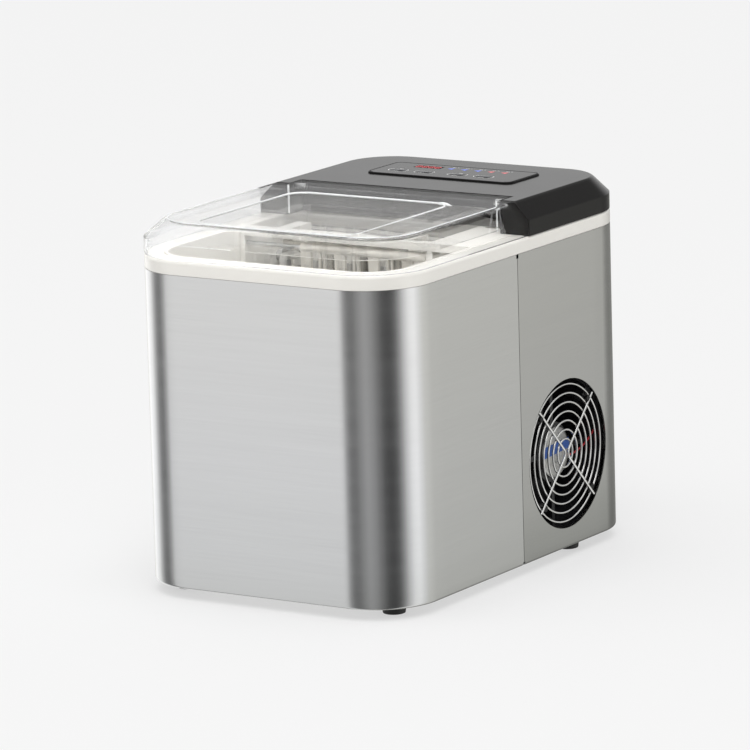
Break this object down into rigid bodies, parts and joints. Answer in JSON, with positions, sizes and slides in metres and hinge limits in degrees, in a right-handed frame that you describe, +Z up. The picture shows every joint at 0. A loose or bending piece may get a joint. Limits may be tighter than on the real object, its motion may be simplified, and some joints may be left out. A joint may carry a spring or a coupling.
{
  "type": "ice maker",
  "caption": "Countertop bullet-ice maker: brushed steel cabinet, hinged clear lid, black hood with buttons, side fan guard, lift-out basket and tipping water tray.",
  "frame": {"origin": "on the floor under the middle of the cabinet", "axes": "+X towards the side with the fan, -Y towards the front, +Z up"},
  "size_m": [0.24, 0.35, 0.2843],
  "materials": {
    "steel_front": "fine horizontal brushing",
    "steel_rear": "fine horizontal brushing",
    "white_rim": "smooth moulded",
    "white_tank": "smooth moulded",
    "foam": "beaded foam",
    "black_gloss": "polished",
    "panel_black": "polished",
    "button_white": "satin",
    "lamp_blue": "lit lens",
    "display_red": "lit window",
    "circuit_board": "solder mask",
    "clear_lid": "clear moulded",
    "basket_plastic": "satin",
    "shovel_plastic": "satin",
    "evaporator_metal": "nickel plated",
    "copper": "drawn copper tube",
    "screw_steel": "zinc plated",
    "guard_wire": "bright wire",
    "motor_silver": "satin",
    "black_plastic": "fine texture",
    "black_rubber": "matt",
    "hose_clear": "milky silicone",
    "lead_red": "insulated wire",
    "fin_aluminium": "thin fins",
    "compressor_black": "semi-gloss paint"
  },
  "bodies": {
    "case": {"base_pan": "black_plastic", "feet": "black_rubber", "foot_screws": "screw_steel", "front_wrap": "steel_front", "rear_wrap": "steel_rear", "seam_strips": "black_plastic", "top_rim": "white_rim", "rim_screws": "screw_steel", "inner_liner": "white_tank", "foam_insulation": "foam", "hood": "black_gloss", "control_panel": "panel_black", "indicator_lenses": "lamp_blue", "display_window": "display_red", "display_board": "circuit_board", "board_screws": "screw_steel", "main_board": "circuit_board", "board_posts": "black_plastic", "mechanism_frame": "white_tank", "evaporator": "evaporator_metal", "evaporator_tube": "copper", "evaporator_screws": "screw_steel", "tray_motor": "motor_silver", "water_pump": "black_plastic", "water_tube": "hose_clear", "ice_sensor": "black_plastic", "drain_seal": "black_rubber", "fan_guard": "guard_wire", "guard_screws": "screw_steel", "fan_shroud": "black_plastic", "fan_motor": "motor_silver", "fan_lead": "lead_red", "condenser_fins": "fin_aluminium", "condenser_tube": "copper", "compressor": "compressor_black", "compressor_grommets": "black_rubber", "compressor_bolts": "screw_steel", "filter_drier": "copper", "liquid_line": "copper", "gas_valve": "black_plastic", "discharge_pipe": "copper", "suction_pipe": "copper", "capillary_tube": "copper", "hot_gas_pipe": "copper", "inlet_cup": "black_plastic", "cord_gland": "black_plastic"},
    "lid": {"lid": "clear_lid", "lid_pins": "screw_steel"},
    "basket": {"ice_basket": "basket_plastic"},
    "tray": {"water_tray": "basket_plastic", "tray_shaft": "screw_steel"},
    "shovel": {"ice_shovel": "shovel_plastic", "shovel_shaft": "screw_steel"},
    "fan": {"fan_shaft": "screw_steel", "fan_impeller": "black_plastic"},
    "drain_cap": {"drain_cap": "white_tank"},
    "button_1": {"button_1": "button_white"},
    "button_2": {"button_2": "button_white"},
    "button_3": {"button_3": "button_white"},
    "button_4": {"button_4": "button_white"}
  },
  "joints": [
    {"name": "lid_hinge", "type": "hinge", "parent": "case", "child": "lid", "pos_m": [0, 0.03, 0.277], "axis": [-1, 0, 0], "range_deg": [0, 100]},
    {"name": "basket_lift", "type": "slide", "parent": "case", "child": "basket", "axis": [0, 0, 1], "range_m": [0, 0.05]},
    {"name": "tray_tilt", "type": "hinge", "parent": "case", "child": "tray", "pos_m": [0, 0.008, 0.228], "axis": [1, 0, 0], "range_deg": [0, 70]},
    {"name": "shovel_sweep", "type": "hinge", "parent": "case", "child": "shovel", "pos_m": [0, -0.035, 0.245], "axis": [1, 0, 0], "range_deg": [0, 30]},
    {"name": "fan_spin", "type": "hinge", "parent": "case", "child": "fan", "pos_m": [0, 0.068, 0.081], "axis": [1, 0, 0], "continuous": true},
    {"name": "drain_cap_turn", "type": "hinge", "parent": "case", "child": "drain_cap", "pos_m": [0, -0.118, 0.009], "axis": [0, 0, 1], "range_deg": [0, 90]},
    {"name": "button_1_press", "type": "slide", "parent": "case", "child": "button_1", "axis": [0, 0, -1], "range_m": [0, 0.0008], "stiffness_N_per_m": 600, "springref_m": -0.0005},
    {"name": "button_2_press", "type": "slide", "parent": "case", "child": "button_2", "axis": [0, 0, -1], "range_m": [0, 0.0008], "stiffness_N_per_m": 600, "springref_m": -0.0005},
    {"name": "button_3_press", "type": "slide", "parent": "case", "child": "button_3", "axis": [0, 0, -1], "range_m": [0, 0.0008], "stiffness_N_per_m": 600, "springref_m": -0.0005},
    {"name": "button_4_press", "type": "slide", "parent": "case", "child": "button_4", "axis": [0, 0, -1], "range_m": [0, 0.0008], "stiffness_N_per_m": 600, "springref_m": -0.0005}
  ],
  "couplings": [
    {"joint": "shovel_sweep", "follows": "tray_tilt", "ratio": 0.42857}
  ]
}
